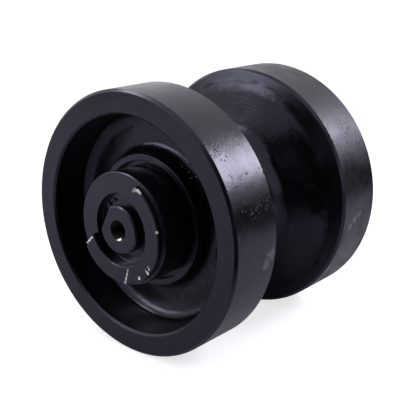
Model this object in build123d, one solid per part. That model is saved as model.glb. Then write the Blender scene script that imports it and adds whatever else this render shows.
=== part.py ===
from build123d import *
import os
from math import cos, radians, sin, sqrt, tan

# Crawler track idler: a double-rimmed, spool-shaped roller that turns on a fixed axle.
# Millimetres. The axle lies along Y, +Z is up and the origin is the middle of the roller.
# Each end is drawn once, at +Y, and mirrored to -Y. Outlines are (radius, y) points.

# Rims and treads
tread_dia = 270.0
rim_width = 62.0
rim_wall = 24.0
guide_gap = 120.0
tread_break = 2.6
rim_mouth_break = 2.0

# Dish in the outer side of each rim, and the hub that stands in it
dish_wall_depth = 38.6
dish_draft = 3.0
web_edge_width = 5.5
web_edge_depth = 6.0
web_edge_radius = 15.0
web_slope = 0.8
hub_ring_width = 6.1
hub_mouth_depth = 7.2
hub_draft = 2.3
hub_root_radius = 9.0
hub_edge_break = 0.8

# Inner side of each rim, and the neck between them
knee_height = 20.0
knee_draft = 2.5
knee_radius = 8.0
flare_angle = 27.2
neck_wall = 17.0
neck_radius = 22.0

# Weld that joins the two halves of the shell at the waist
weld_depth = 9.0
weld_half_angle = 35.0
weld_crown = 1.4

# Axle
journal_dia = 70.0
thrust_height = 11.0
thrust_width = 20.0
thrust_edge_break = 1.5
axle_end_dia = 49.0
axle_end_inset = 0.3
axle_end_chamfer = 1.5
axle_flat_depth = 5.5
axle_flat_angle = 153.0
tap_drill_dia = 17.5
tap_mouth_chamfer = 1.55
tap_depth = 34.0
drill_point_angle = 118.0
gallery_dia = 8.0
cross_hole_dia = 6.0

# Flanged bushes
bush_wall = 5.0
bush_flange_height = 6.0
bush_flange_thickness = 4.0
bush_end_recess = 1.0
bush_edge_break = 0.6
oil_space = 4.0

# Face seals: two metal rings that run face to face, each on a rubber ring between two cones
seal_bore_clear = 4.0
seal_wall = 4.0
seal_flange_thickness = 3.0
seal_flange_clear = 1.9
seal_cone_length = 9.2
seal_cone_rise = 2.5
seal_rubber_space = 6.9
seal_pocket_floor_gap = 1.0
seal_mouth_gap = 1.5

# Collars on the axle ends
collar_skirt_wall = 4.0
collar_seat_rise = 0.6
collar_seat_clear = 1.3
collar_stand_out = 8.0
collar_step_height = 6.6
collar_step_ledge = 2.8
collar_step_distance = 17.0
collar_step_angle = 135.0
collar_counterbore_room = 12.0
collar_floor_thickness = 10.0
collar_edge_break = 0.9
labyrinth_gap = 4.4

# Rubber ring between collar and axle
cord_ring_section = 3.5
cord_ring_groove_width = 4.2
cord_ring_land = 8.8

# Retaining rings
clip_thickness = 2.0
clip_band = 4.6
clip_groove_depth = 1.2
clip_ear_radius = 3.4
clip_ear_hole_dia = 2.4
clip_ear_offset = 4.7
clip_gap_angle = 14.0
clip_gap_width = 3.8
clip_gap_direction = 136.4

# Oil plug
plug_length = 13.0
plug_depth = 13.5
plug_socket_across_flats = 10.0
plug_socket_depth = 7.0
plug_edge_break = 1.0

# Clearances
running_gap = 0.05
end_play = 0.3
oil_film = 0.05
seat_gap = 0.03
rubber_gap = 0.05
clip_groove_play = 0.15

# Radii, from the axle outwards
journal_rad = journal_dia / 2
axle_end_rad = axle_end_dia / 2
axle_flat_distance = axle_end_rad - axle_flat_depth
thrust_rad = journal_rad + thrust_height
bush_bore_rad = journal_rad + running_gap
bush_rad = bush_bore_rad + bush_wall
bush_flange_rad = bush_rad + bush_flange_height
cavity_rad = max(thrust_rad, bush_flange_rad) + oil_space
neck_rad = cavity_rad + neck_wall
seal_bore_rad = journal_rad + seal_bore_clear
seal_tail_rad = seal_bore_rad + seal_wall
seal_pocket_tail_rad = seal_tail_rad + seal_rubber_space
seal_pocket_mouth_rad = seal_pocket_tail_rad + seal_cone_rise
seal_flange_rad = seal_pocket_mouth_rad - seal_flange_clear
collar_skirt_rad = seal_pocket_mouth_rad + collar_skirt_wall
collar_rad = collar_skirt_rad + collar_seat_rise
collar_step_rad = collar_rad - collar_step_ledge
collar_counterbore_rad = axle_end_rad + collar_counterbore_room
hub_mouth_rad = collar_rad + labyrinth_gap
hub_rad = hub_mouth_rad + hub_ring_width
tread_rad = tread_dia / 2
dish_mouth_rad = tread_rad - rim_wall
knee_rad = tread_rad - knee_height

# Places along the axle, worked out from the rims inwards and from the middle outwards
half_gap = guide_gap / 2
half_width = half_gap + rim_width
collar_low_face = half_width + collar_stand_out
collar_top = collar_low_face + collar_step_height
axle_end = collar_top - axle_end_inset
collar_floor = half_width
axle_shoulder = collar_floor - collar_floor_thickness
collar_pocket_floor = axle_shoulder - cord_ring_land
cord_ring_place = (collar_pocket_floor + axle_shoulder) / 2
seal_reach = seal_flange_thickness + seal_cone_length + seal_pocket_floor_gap
seal_plane = collar_pocket_floor - seal_reach
shell_pocket_floor = seal_plane - seal_reach
shell_pocket_mouth = seal_plane - seal_mouth_gap
collar_pocket_mouth = seal_plane + seal_mouth_gap
hub_face = shell_pocket_mouth + hub_mouth_depth
collar_seat_start = hub_face + collar_seat_clear
thrust_half = thrust_width / 2
bush_start = thrust_half + end_play
bush_seat = bush_start + bush_flange_thickness
bush_end = shell_pocket_floor - bush_end_recess


def turned(corners):
    """Solid of revolution about Y from (radius, y, corner radius) points."""
    places = [(radius, y) for radius, y, _ in corners]
    roundings = [rounding for _, _, rounding in corners]
    outline = FilletPolyline(*places, radius=roundings, close=True)
    return revolve(make_face(outline), Axis.Y)


def broken(size, before, corner, after):
    """Two sharp points that cut the corner back by size along both of its sides."""
    cut = []
    for other in (before, after):
        reach = Vector(*other) - Vector(*corner)
        place = Vector(*corner) + reach.normalized() * size
        cut.append((place.X, place.Y, 0))
    return cut


def plain_ring(inner_rad, outer_rad, low, high):
    return turned([(inner_rad, low, 0), (outer_rad, low, 0), (outer_rad, high, 0), (inner_rad, high, 0)])


def direction(angle):
    """Unit vector across the axle, with 0 along +X and 90 straight up."""
    return Vector(cos(radians(angle)), 0, sin(radians(angle)))


def block_beyond(angle, distance, low, high, reach):
    """Box that starts at a flat face this far from the axle and runs outwards."""
    out = direction(angle)
    flat = Plane(origin=out * distance, x_dir=(0, 1, 0), z_dir=out)
    lying = Pos((low + high) / 2, 0, 0) * Rectangle(high - low, 2 * reach)
    return extrude(flat * lying, reach)


def shell_half():
    """One forged half: rim, dish, web, hub and half of the neck, bored for bush and seal."""
    rim_in = half_gap
    knee_y = rim_in - knee_draft
    flare_foot = knee_y - (knee_rad - neck_rad) * tan(radians(flare_angle))
    dish_corner_y = half_width - dish_wall_depth
    dish_corner_rad = dish_mouth_rad - dish_draft
    web_edge = (dish_corner_rad - web_edge_width, dish_corner_y - web_edge_depth)
    hub_root_rad = hub_rad + hub_draft
    hub_root_y = dish_corner_y - web_edge_depth - web_slope
    groove_root = neck_rad - weld_depth
    groove_y = weld_depth * tan(radians(weld_half_angle))
    bush_seat_rad = bush_rad + seat_gap
    face_edge = (tread_rad, half_width)
    tread_in = (tread_rad, rim_in)
    dish_edge = (dish_mouth_rad, half_width)
    dish_corner = (dish_corner_rad, dish_corner_y)
    hub_edge = (hub_rad, hub_face)
    mouth_edge = (hub_mouth_rad, hub_face)
    inside = [
        (groove_root, 0, 0),
        (cavity_rad, 0, 0),
        (cavity_rad, bush_seat, 0),
        (bush_seat_rad, bush_seat, 0),
        (bush_seat_rad, shell_pocket_floor, 0),
        (seal_pocket_tail_rad, shell_pocket_floor, 0),
        (seal_pocket_mouth_rad, shell_pocket_floor + seal_cone_length, 0),
        (seal_pocket_mouth_rad, shell_pocket_mouth, 0),
        (hub_mouth_rad, shell_pocket_mouth, 0),
    ]
    hub = broken(hub_edge_break, (hub_mouth_rad, shell_pocket_mouth), mouth_edge, hub_edge)
    hub += broken(hub_edge_break, mouth_edge, hub_edge, (hub_root_rad, hub_root_y))
    dish = [(hub_root_rad, hub_root_y, hub_root_radius), (*web_edge, web_edge_radius)]
    dish += [(*dish_corner, 0)]
    rim = broken(rim_mouth_break, dish_corner, dish_edge, face_edge)
    rim += broken(tread_break, dish_edge, face_edge, tread_in)
    rim += broken(tread_break, face_edge, tread_in, (knee_rad, knee_y))
    neck = [(knee_rad, knee_y, knee_radius), (neck_rad, flare_foot, neck_radius), (neck_rad, groove_y, 0)]
    return turned(inside + hub + dish + rim + neck)


def waist_weld():
    """Bead that fills the two bevels at the waist and stands a little proud of the neck."""
    root = (neck_rad - weld_depth, 0)
    edge_y = weld_depth * tan(radians(weld_half_angle))
    crown = ThreePointArc((neck_rad, edge_y), (neck_rad + weld_crown, 0), (neck_rad, -edge_y))
    sides = Polyline((neck_rad, -edge_y), root, (neck_rad, edge_y))
    return revolve(make_face(sides + crown), Axis.Y)


def tapped_hole(depth):
    """Cutter for the tapped hole in an axle end: chamfered mouth, bore and drill point."""
    drill_rad = tap_drill_dia / 2
    mouth_rad = drill_rad + tap_mouth_chamfer
    bottom = axle_end - depth
    point = bottom - drill_rad / tan(radians(drill_point_angle / 2))
    chamfer_foot = axle_end - tap_mouth_chamfer
    outline = [(0, point, 0), (drill_rad, bottom, 0), (drill_rad, chamfer_foot, 0)]
    outline += [(mouth_rad, axle_end, 0), (0, axle_end, 0)]
    return turned(outline)


def axle():
    """Stepped shaft with a thrust flange in its middle and a flatted, tapped end at each side."""
    flange_corner = (thrust_rad, thrust_half)
    half = [(0, 0, 0), (thrust_rad, 0, 0)]
    half += broken(thrust_edge_break, (thrust_rad, 0), flange_corner, (journal_rad, thrust_half))
    half += [(journal_rad, thrust_half, 0), (journal_rad, axle_shoulder, 0)]
    half += [(axle_end_rad, axle_shoulder, 0)]
    end_corner = (axle_end_rad, axle_end)
    half += broken(axle_end_chamfer, (axle_end_rad, axle_shoulder), end_corner, (0, axle_end))
    half += [(0, axle_end, 0)]
    groove_rad = axle_end_rad - clip_groove_depth
    body = turned(half)
    body -= clip_groove_cutter(groove_rad)
    body -= cord_ring_groove_cutter()
    body -= block_beyond(axle_flat_angle, axle_flat_distance, axle_shoulder, axle_end, axle_end_dia)
    body -= tapped_hole(tap_depth)
    body += mirror(body, about=Plane.XZ)
    return body - oil_gallery()


def clip_groove_cutter(groove_rad):
    groove_width = clip_thickness + clip_groove_play
    return plain_ring(groove_rad, axle_end_dia, collar_floor, collar_floor + groove_width)


def cord_ring_groove_cutter():
    half_groove = cord_ring_groove_width / 2
    low = cord_ring_place - half_groove
    return plain_ring(cord_ring_floor(), journal_dia, low, low + cord_ring_groove_width)


def cord_ring_floor():
    """Radius of the groove floor that leaves the rubber ring just inside the journal."""
    return journal_rad - cord_ring_section - rubber_gap


def oil_gallery():
    """Long hole from the far tapped hole to the middle, and a cross hole through the flange."""
    length = axle_end - tap_depth
    long_hole = Pos(0, length / 2, 0) * Rot(90, 0, 0) * Cylinder(gallery_dia / 2, length)
    cross_hole = Cylinder(cross_hole_dia / 2, 2 * thrust_rad)
    return long_hole + cross_hole


def bush():
    """Flanged bush: its flange takes the side load from the thrust flange of the axle."""
    outer = (bush_rad, bush_end)
    inner = (bush_bore_rad, bush_end)
    outline = [(bush_bore_rad, bush_start, 0), (bush_flange_rad, bush_start, 0)]
    outline += [(bush_flange_rad, bush_seat, 0), (bush_rad, bush_seat, 0)]
    outline += broken(bush_edge_break, (bush_rad, bush_seat), outer, inner)
    outline += broken(bush_edge_break, outer, inner, (bush_bore_rad, bush_start))
    return turned(outline)


def seal_ring():
    """Metal half of the face seal that turns with the shell, its flat face outwards."""
    face = seal_plane - oil_film / 2
    flange_back = seal_plane - seal_flange_thickness
    tail = flange_back - seal_cone_length
    root_rad = seal_tail_rad + seal_cone_rise
    outline = [(seal_bore_rad, tail, 0), (seal_tail_rad, tail, 0), (root_rad, flange_back, 0)]
    outline += [(seal_flange_rad, flange_back, 0), (seal_flange_rad, face, 0), (seal_bore_rad, face, 0)]
    return turned(outline)


def rubber_ring():
    """Round rubber ring held between the cone of a seal ring and the cone of its pocket."""
    slope = sqrt(seal_cone_length**2 + seal_cone_rise**2)
    shift = seal_pocket_floor_gap * seal_cone_rise / seal_cone_length
    between = (seal_rubber_space + shift) * seal_cone_length / slope
    section_rad = between / 2 - rubber_gap
    middle_rad = (seal_tail_rad + seal_pocket_tail_rad + seal_cone_rise) / 2
    middle_y = shell_pocket_floor + (seal_pocket_floor_gap + seal_cone_length) / 2
    return revolve(Pos(middle_rad, middle_y) * Circle(section_rad), Axis.Y)


def cord_ring():
    """Rubber ring in its groove in the axle, under the collar."""
    middle_rad = cord_ring_floor() + rubber_gap / 2 + cord_ring_section / 2
    section = Pos(middle_rad, cord_ring_place) * Circle(cord_ring_section / 2)
    return revolve(section, Axis.Y)


def collar():
    """Fixed end collar: seal pocket inside, half-moon step and counterbore outside."""
    bore = journal_rad + seat_gap
    eye = axle_end_rad + seat_gap
    pocket_corner = (seal_pocket_mouth_rad, collar_pocket_mouth)
    skirt_corner = (collar_skirt_rad, collar_pocket_mouth)
    skirt_top = (collar_skirt_rad, collar_seat_start)
    low_corner = (collar_rad, collar_low_face)
    outline = [(eye, axle_shoulder, 0), (bore, axle_shoulder, 0), (bore, collar_pocket_floor, 0)]
    outline += [(seal_pocket_tail_rad, collar_pocket_floor, 0)]
    outline += [(seal_pocket_mouth_rad, collar_pocket_floor - seal_cone_length, 0)]
    outline += [(*pocket_corner, 0)]
    outline += broken(collar_edge_break, pocket_corner, skirt_corner, skirt_top)
    outline += [(*skirt_top, 0), (collar_rad, collar_seat_start, 0)]
    outline += broken(collar_edge_break, (collar_rad, collar_seat_start), low_corner, (0, collar_low_face))
    outline += [(collar_counterbore_rad, collar_low_face, 0), (collar_counterbore_rad, collar_floor, 0)]
    outline += [(eye, collar_floor, 0)]
    return turned(outline) + half_moon() + eye_flat(eye)


def half_moon():
    """Raised part of the collar face, cut off along a chord on its lowered side."""
    step_foot = (collar_step_rad, collar_low_face)
    step_corner = (collar_step_rad, collar_top)
    bore_foot = (collar_counterbore_rad, collar_low_face)
    bore_corner = (collar_counterbore_rad, collar_top)
    outline = [(*bore_foot, 0), (*step_foot, 0)]
    outline += broken(collar_edge_break, step_foot, step_corner, bore_corner)
    outline += broken(collar_edge_break, step_corner, bore_corner, bore_foot)
    beyond = block_beyond(collar_step_angle, collar_step_distance, collar_low_face, collar_top, collar_rad)
    return turned(outline) - beyond


def eye_flat(eye):
    """Filling in the round eye of the collar that meets the flat of the axle end."""
    disc = plain_disc(eye + seat_gap, axle_shoulder, collar_floor)
    distance = axle_flat_distance + seat_gap
    return disc & block_beyond(axle_flat_angle, distance, axle_shoulder, collar_floor, axle_end_dia)


def plain_disc(radius, low, high):
    return turned([(0, low, 0), (radius, low, 0), (radius, high, 0), (0, high, 0)])


def retaining_ring():
    """Sprung ring in the groove of the axle end, with an ear and an eye at each tip."""
    inner = axle_end_rad - clip_groove_depth + seat_gap
    outer = inner + clip_band
    low = collar_floor + clip_groove_play / 2
    ear_rad = axle_end_rad + clip_ear_offset
    flat = Plane(origin=(0, low, 0), x_dir=(1, 0, 0), z_dir=(0, 1, 0))
    band = Circle(outer)
    eyes = []
    for turn in (-1, 1):
        tip = direction(clip_gap_direction + turn * clip_gap_angle / 2)
        centre = (tip.X * ear_rad, -tip.Z * ear_rad)
        band += Pos(*centre) * Circle(clip_ear_radius)
        eyes.append(Pos(*centre) * Circle(clip_ear_hole_dia / 2))
    band -= Circle(inner)
    band -= Rot(0, 0, -clip_gap_direction) * Pos(ear_rad, 0) * Rectangle(ear_rad, clip_gap_width)
    for eye in eyes:
        band -= eye
    return extrude(flat * band, clip_thickness)


def oil_plug():
    """Headless plug with a hexagon socket, screwed down the tapped hole at the far end."""
    rad = tap_drill_dia / 2 - seat_gap
    top = axle_end - plug_depth
    low = top - plug_length
    outline = [(0, low, 0)] + broken(plug_edge_break, (0, low), (rad, low), (rad, top))
    outline += broken(plug_edge_break, (rad, low), (rad, top), (0, top)) + [(0, top, 0)]
    across_corners = plug_socket_across_flats / cos(radians(30))
    flat = Plane(origin=(0, top, 0), x_dir=(1, 0, 0), z_dir=(0, 1, 0))
    socket = extrude(flat * RegularPolygon(across_corners / 2, 6), -plug_socket_depth)
    return turned(outline) - socket


def mirrored_in_seal_plane(piece):
    """The fixed half of the face seal is the turning half looked at from the other side."""
    return mirror(piece, about=Plane(origin=(0, seal_plane, 0), z_dir=(0, 1, 0)))


def both_ends(name, piece):
    """A far copy at +Y and a near copy at -Y."""
    return {"far_" + name: piece, "near_" + name: mirror(piece, about=Plane.XZ)}


def all_pieces():
    pieces = {"axle": axle(), "waist_weld": waist_weld(), "oil_plug": oil_plug()}
    pieces |= both_ends("shell_half", shell_half())
    pieces |= both_ends("bush", bush())
    pieces |= both_ends("turning_seal_ring", seal_ring())
    pieces |= both_ends("fixed_seal_ring", mirrored_in_seal_plane(seal_ring()))
    pieces |= both_ends("turning_rubber_ring", rubber_ring())
    pieces |= both_ends("fixed_rubber_ring", mirrored_in_seal_plane(rubber_ring()))
    pieces |= both_ends("cord_ring", cord_ring())
    pieces |= both_ends("collar", collar())
    pieces |= both_ends("retaining_ring", retaining_ring())
    return pieces


os.makedirs("parts", exist_ok=True)
for node, shape in all_pieces().items():
    shape.label = node
    export_step(shape, f"parts/{node}.step")
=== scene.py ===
import math
import random

import bmesh
import bpy
from mathutils import Matrix, Vector, noise

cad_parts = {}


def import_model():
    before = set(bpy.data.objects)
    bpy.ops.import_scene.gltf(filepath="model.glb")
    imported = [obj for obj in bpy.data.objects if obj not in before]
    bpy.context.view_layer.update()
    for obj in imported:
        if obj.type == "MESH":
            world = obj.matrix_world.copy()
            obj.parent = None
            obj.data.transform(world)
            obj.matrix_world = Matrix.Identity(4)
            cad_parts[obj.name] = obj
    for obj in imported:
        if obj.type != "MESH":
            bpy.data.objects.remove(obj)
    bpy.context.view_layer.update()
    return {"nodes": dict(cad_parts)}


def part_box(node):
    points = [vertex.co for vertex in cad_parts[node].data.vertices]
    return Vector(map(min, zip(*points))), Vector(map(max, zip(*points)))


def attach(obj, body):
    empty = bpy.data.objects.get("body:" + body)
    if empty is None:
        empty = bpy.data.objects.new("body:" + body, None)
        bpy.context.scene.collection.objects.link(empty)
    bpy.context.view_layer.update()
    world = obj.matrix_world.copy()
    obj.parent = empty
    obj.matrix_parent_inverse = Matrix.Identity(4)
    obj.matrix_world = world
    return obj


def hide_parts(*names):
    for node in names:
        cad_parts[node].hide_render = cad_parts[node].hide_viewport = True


# Track idler: the finish of a double-rimmed crawler roller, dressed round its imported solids.
# Metres throughout. The axle lies along Y, the near end is at -Y and +Z is up.

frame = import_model()

MM = 0.001

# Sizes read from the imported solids
collar_low, collar_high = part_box("far_collar")
TREAD_RAD, HALF_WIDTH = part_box("far_shell_half")[1].xy
COLLAR_RAD, COLLAR_TOP = collar_high.xy
COLLAR_FOOT = collar_low.y
AXLE_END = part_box("axle")[1].y
WELD_CROWN_RAD, WELD_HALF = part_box("waist_weld")[1].xy

# Shell
RIM_WIDTH = 62 * MM
RIM_WALL = 24 * MM
EDGE_BREAK = 2.6 * MM
EDGE_BREAK_DROP = 0.1 * MM
MOUTH_BREAK = 2.0 * MM
DISH_DEPTH = 38.6 * MM
DISH_DRAFT = 3.0 * MM
DISH_ROOT_RADIUS = 0.8 * MM
WEB_EDGE_WIDTH = 5.5 * MM
WEB_EDGE_DEPTH = 6.0 * MM
WEB_EDGE_RADIUS = 15.0 * MM
WEB_SLOPE = 0.8 * MM
HUB_RAD = 67.5 * MM
HUB_MOUTH_RAD = 61.4 * MM
HUB_FACE = 95.7 * MM
HUB_DRAFT = 2.3 * MM
HUB_ROOT_RADIUS = 9.0 * MM
KNEE_HEIGHT = 20.0 * MM
KNEE_DRAFT = 2.5 * MM
KNEE_RADIUS = 45.0 * MM
FLARE_ANGLE = math.radians(27.2)
NECK_RAD = 67.05 * MM
NECK_RADIUS = 22.0 * MM
CAVITY_RAD = 50.05 * MM
BUSH_SEAT = 14.3 * MM
BUSH_SEAT_RAD = 40.08 * MM
POCKET_FLOOR = 76.8 * MM
POCKET_MOUTH = 88.5 * MM
POCKET_TAIL_RAD = 49.9 * MM
POCKET_MOUTH_RAD = 52.4 * MM
SEAL_CONE = 9.2 * MM
SKIN_DEPTH = 0.5 * MM
SKIN_LUMP = 9 * MM

# Weld at the waist
WELD_DEPTH = 9.0 * MM
WELD_ROUND_POINTS = 6
BEAD_LIFT = 0.05 * MM
RIPPLES = 150.0
RIPPLE_DEPTH = 0.45 * MM
RIPPLE_BOW = 38000.0
RIPPLE_WAVER = 1.6

# Collar
COLLAR_LOW_FACE = 130 * MM
COLLAR_FLOOR = 122 * MM
COLLAR_POCKET_FLOOR = 103.2 * MM
COLLAR_BORE_RAD = 35.03 * MM
COLLAR_BREAK = 0.9 * MM
SEAT_START = 97 * MM
SKIRT_RAD = 56.4 * MM
STEP_RAD = 54.2 * MM
STEP_DISTANCE = 17 * MM
STEP_ANGLE = math.radians(135)
STEP_FOOT = 0.6 * MM
STEP_EDGE = 0.55 * MM
COUNTERBORE_RAD = 36.5 * MM
EYE_RAD = 24.53 * MM
EYE_BITE = 0.2 * MM
FLAT_GAP = 0.03 * MM

# Axle
AXLE_SHOULDER = 112 * MM
JOURNAL_RAD = 35 * MM
THRUST_RAD = 46 * MM
THRUST_HALF = 10 * MM
AXLE_END_RAD = 24.5 * MM
AXLE_CHAMFER = 1.5 * MM
FLAT_DISTANCE = 19 * MM
FLAT_ANGLE = math.radians(153)
CLIP_GROOVE_RAD = 23.3 * MM
CLIP_GROOVE_WIDTH = 2.15 * MM
CORD_GROOVE_RAD = 31.45 * MM
CORD_GROOVE_LOW = 105.5 * MM
CORD_GROOVE_HIGH = 109.7 * MM

# Tapped hole
THREAD_MAJOR_RAD = 10.0 * MM
THREAD_MINOR_RAD = 8.75 * MM
THREAD_PITCH = 2.5 * MM
THREAD_LENGTH = 29.5 * MM
THREAD_RUNOUT = 0.6 * MM
THREAD_FLANK = (0.15, 0.88)
TAP_DEPTH = 34 * MM
TAP_MOUTH_RAD = 10.3 * MM
DRILL_SLOPE = math.tan(math.radians(31))
GALLERY_RAD = 4.0 * MM

# Fineness of the turned meshes
EDGE_HOLD = 0.35 * MM
SEAM_GAP = 0.002 * MM
LARGE_ROUNDING = 4 * MM
NEARLY_STRAIGHT = math.radians(89.5)
THREAD_STEP = THREAD_PITCH / 10
TURNED_SHARP_ANGLE = math.radians(32)
CUT_SHARP_ANGLE = math.radians(30)

# Zones of an outline, and the finish that each one gets
TREAD, TURNED, FORGED, THREAD = range(4)
ZONE_FINISHES = ("Tread Finish", "Turned Finish", "Forged Finish", "Thread Finish")
ZONE_BLUR = 0.05


def linked(name, data):
    """A new object of the scene for a mesh, a lamp or a camera."""
    made = bpy.data.objects.new(name, data)
    bpy.context.scene.collection.objects.link(made)
    return made


# Outlines

def rounded_corner(before, corner, after):
    """Points on the arc that rounds a corner of an outline."""
    here, radius = Vector(corner[:2]), corner[2]
    back = (Vector(before[:2]) - here).normalized()
    ahead = (Vector(after[:2]) - here).normalized()
    half_angle = back.angle(ahead) / 2
    if radius == 0 or half_angle > NEARLY_STRAIGHT:
        return [here]
    reach = radius / math.tan(half_angle)
    centre = here + (back + ahead).normalized() * (radius / math.sin(half_angle))
    start = here + back * reach - centre
    end = here + ahead * reach - centre
    sweep = start.angle_signed(end)
    steps = 10 if radius > LARGE_ROUNDING else 4
    return [centre + Matrix.Rotation(-sweep * step / steps, 2) @ start for step in range(steps + 1)]


def stops_along(length, step):
    """Places of the points on a straight; the outer ones are held close to its ends."""
    if length <= 3 * EDGE_HOLD:
        return []
    inner = length - 2 * EDGE_HOLD
    pieces = max(1, round(inner / step))
    return [EDGE_HOLD + inner * k / pieces for k in range(pieces + 1)]


def outline_points(corners, spacing):
    """Closed outline from (radius, y, rounding, zone) corners; a zone runs on to the next corner."""
    count = len(corners)
    arcs = [rounded_corner(corners[k - 1], corners[k], corners[(k + 1) % count]) for k in range(count)]
    points, zones = [], []
    for k, arc in enumerate(arcs):
        zone = corners[k][3]
        run = arcs[(k + 1) % count][0] - arc[-1]
        stops = stops_along(run.length, THREAD_STEP if zone == THREAD else spacing)
        points += arc + [arc[-1] + run.normalized() * stop for stop in stops]
        zones += [zone] * (len(arc) + len(stops))
    return points, zones


def outline_object(name, corners, spacing, near):
    """The far end's outline, or its mirror image, as a loop that carries its zone at each point."""
    points, zones = outline_points(corners, spacing)
    if near:
        points = [Vector((point.x, -point.y)) for point in reversed(points)]
        zones.reverse()
    mesh = bpy.data.meshes.new(name)
    loop = [(k, (k + 1) % len(points)) for k in range(len(points))]
    mesh.from_pydata([(point.x, point.y, 0) for point in points], loop, [])
    attribute = mesh.attributes.new("zone", "FLOAT", "POINT")
    attribute.data.foreach_set("value", [float(zone) for zone in zones])
    return linked(name, mesh)


# Node trees

class Tree:
    """Short way to write a node tree: nodes by kind, links by socket."""

    def __init__(self, group):
        self.group = group

    def add(self, kind, values=None, **settings):
        """A new node, whose values are plain ones, sockets, or nodes that give their first output."""
        node = self.group.nodes.new(kind)
        for key, value in settings.items():
            setattr(node, key, value)
        for key, value in (values or {}).items():
            self.feed(node.inputs[key], value)
        return node

    def feed(self, socket, value):
        if isinstance(value, bpy.types.Node):
            value = value.outputs[0]
        if isinstance(value, bpy.types.NodeSocket):
            self.group.links.new(value, socket)
        else:
            socket.default_value = value

    def math(self, operation, *values):
        return self.add("ShaderNodeMath", dict(enumerate(values)), operation=operation)

    def plus(self, first, second):
        return self.math("ADD", first, second)

    def minus(self, first, second):
        return self.math("SUBTRACT", first, second)

    def times(self, first, second):
        return self.math("MULTIPLY", first, second)

    def over(self, first, second):
        return self.math("DIVIDE", first, second)

    def from_axle(self, place):
        """Distance of a place from the axle."""
        flat = self.add("ShaderNodeVectorMath", {0: place, 1: (1, 0, 1)}, operation="MULTIPLY")
        return self.add("ShaderNodeVectorMath", {0: flat}, operation="LENGTH").outputs["Value"]

    def round_axle(self, place):
        """Distance of a place from the axle, its angle round it and its place along it."""
        across, along, upright = self.add("ShaderNodeSeparateXYZ", {0: place}).outputs
        return self.from_axle(place), self.math("ARCTAN2", upright, across), along

    def mixed(self, share, first, second):
        """Blend of two colours; a share of 0 is all the first."""
        node = self.add("ShaderNodeMix", {"Factor": share}, data_type="RGBA")
        ends = [socket for socket in node.inputs if socket.type == "RGBA"]
        for socket, colour in zip(ends, (first, second)):
            self.feed(socket, (*colour, 1) if isinstance(colour, tuple) else colour)
        return next(socket for socket in node.outputs if socket.type == "RGBA")


# Geometry trees

def geometry_tree(name, inputs):
    """A geometry tree with named inputs, the sockets that give them, and the one for its result."""
    group = bpy.data.node_groups.new(name, "GeometryNodeTree")
    group.interface.new_socket("Geometry", in_out="INPUT", socket_type="NodeSocketGeometry")
    for kind, labels in inputs.items():
        for label in labels:
            group.interface.new_socket(label, in_out="INPUT", socket_type=f"NodeSocket{kind}")
    group.interface.new_socket("Geometry", in_out="OUTPUT", socket_type="NodeSocketGeometry")
    tree = Tree(group)
    return tree, tree.add("NodeGroupInput").outputs, tree.add("NodeGroupOutput").inputs[0]


def run_tree(piece, group, values):
    """Runs a geometry tree on a piece, keeps its result as a plain mesh and drops the modifier."""
    modifier = piece.modifiers.new("Shape", "NODES")
    modifier.node_group = group
    for item in group.interface.items_tree:
        if item.in_out == "INPUT" and item.name in values:
            modifier[item.identifier] = values[item.name]
    keep_result(piece)


def keep_result(piece):
    """Turns what the modifiers show into the piece's own mesh."""
    bpy.context.view_layer.update()
    shown = piece.evaluated_get(bpy.context.evaluated_depsgraph_get())
    result = bpy.data.meshes.new_from_object(shown)
    piece.modifiers.clear()
    piece.data = result
    result.name = piece.name
    face_outwards(result)


def face_outwards(mesh):
    """Turns the faces outwards and drops edges that no face uses."""
    shape = bmesh.new()
    shape.from_mesh(mesh)
    loose = [edge for edge in shape.edges if not edge.link_faces]
    bmesh.ops.delete(shape, geom=loose, context="EDGES")
    bmesh.ops.recalc_face_normals(shape, faces=shape.faces)
    shape.to_mesh(mesh)
    shape.free()


def above(tree, value, limit):
    return tree.add("FunctionNodeCompare", {0: value, 1: limit}, operation="GREATER_THAN")


def zone_here(tree):
    return tree.add("GeometryNodeInputNamedAttribute", {"Name": "zone"}, data_type="FLOAT")


def seeded_cloud(tree, place, seed, scale, detail):
    """Noise from 0 to 1 that changes with its seed."""
    values = {"Vector": place, "W": seed, "Scale": scale, "Detail": detail}
    return tree.add("ShaderNodeTexNoise", values, noise_dimensions="4D")


def lifted(tree, geometry, height):
    """Geometry moved out along its own normals."""
    normal = tree.add("GeometryNodeInputNormal")
    lift = tree.add("ShaderNodeVectorMath", {0: normal, "Scale": height}, operation="SCALE")
    return tree.add("GeometryNodeSetPosition", {"Geometry": geometry, "Offset": lift})


def turning_tree():
    """Spins an outline about Y, roughens its forged zone and gives each zone its finish."""
    sizes = (
        "Skin Depth", "Skin Size", "Sharp Angle",
        "Thread Pitch", "Thread Depth", "Mouth Radius", "Mouth Place",
    )
    inputs = {"Int": ("Steps", "Seed"), "Float": sizes, "Material": ZONE_FINISHES}
    tree, given, result = geometry_tree("turned_piece", inputs)
    zone = zone_here(tree)
    piece = rough_skin(tree, given, spun_outline(tree, given), zone)
    piece = tree.add("GeometryNodeSetShadeSmooth", {"Geometry": piece}, domain="FACE")
    is_sharp = above(tree, tree.add("GeometryNodeInputMeshEdgeAngle"), given["Sharp Angle"])
    edges = {"Geometry": piece, "Selection": is_sharp, "Shade Smooth": False}
    piece = tree.add("GeometryNodeSetShadeSmooth", edges, domain="EDGE")
    for number, label in enumerate(ZONE_FINISHES):
        faces = {"Geometry": piece, "Selection": above(tree, zone, number - 0.5), "Material": given[label]}
        piece = tree.add("GeometryNodeSetMaterial", faces)
    tree.feed(result, tree.add("GeometryNodeRealizeInstances", {0: piece}))
    return tree.group


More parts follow.
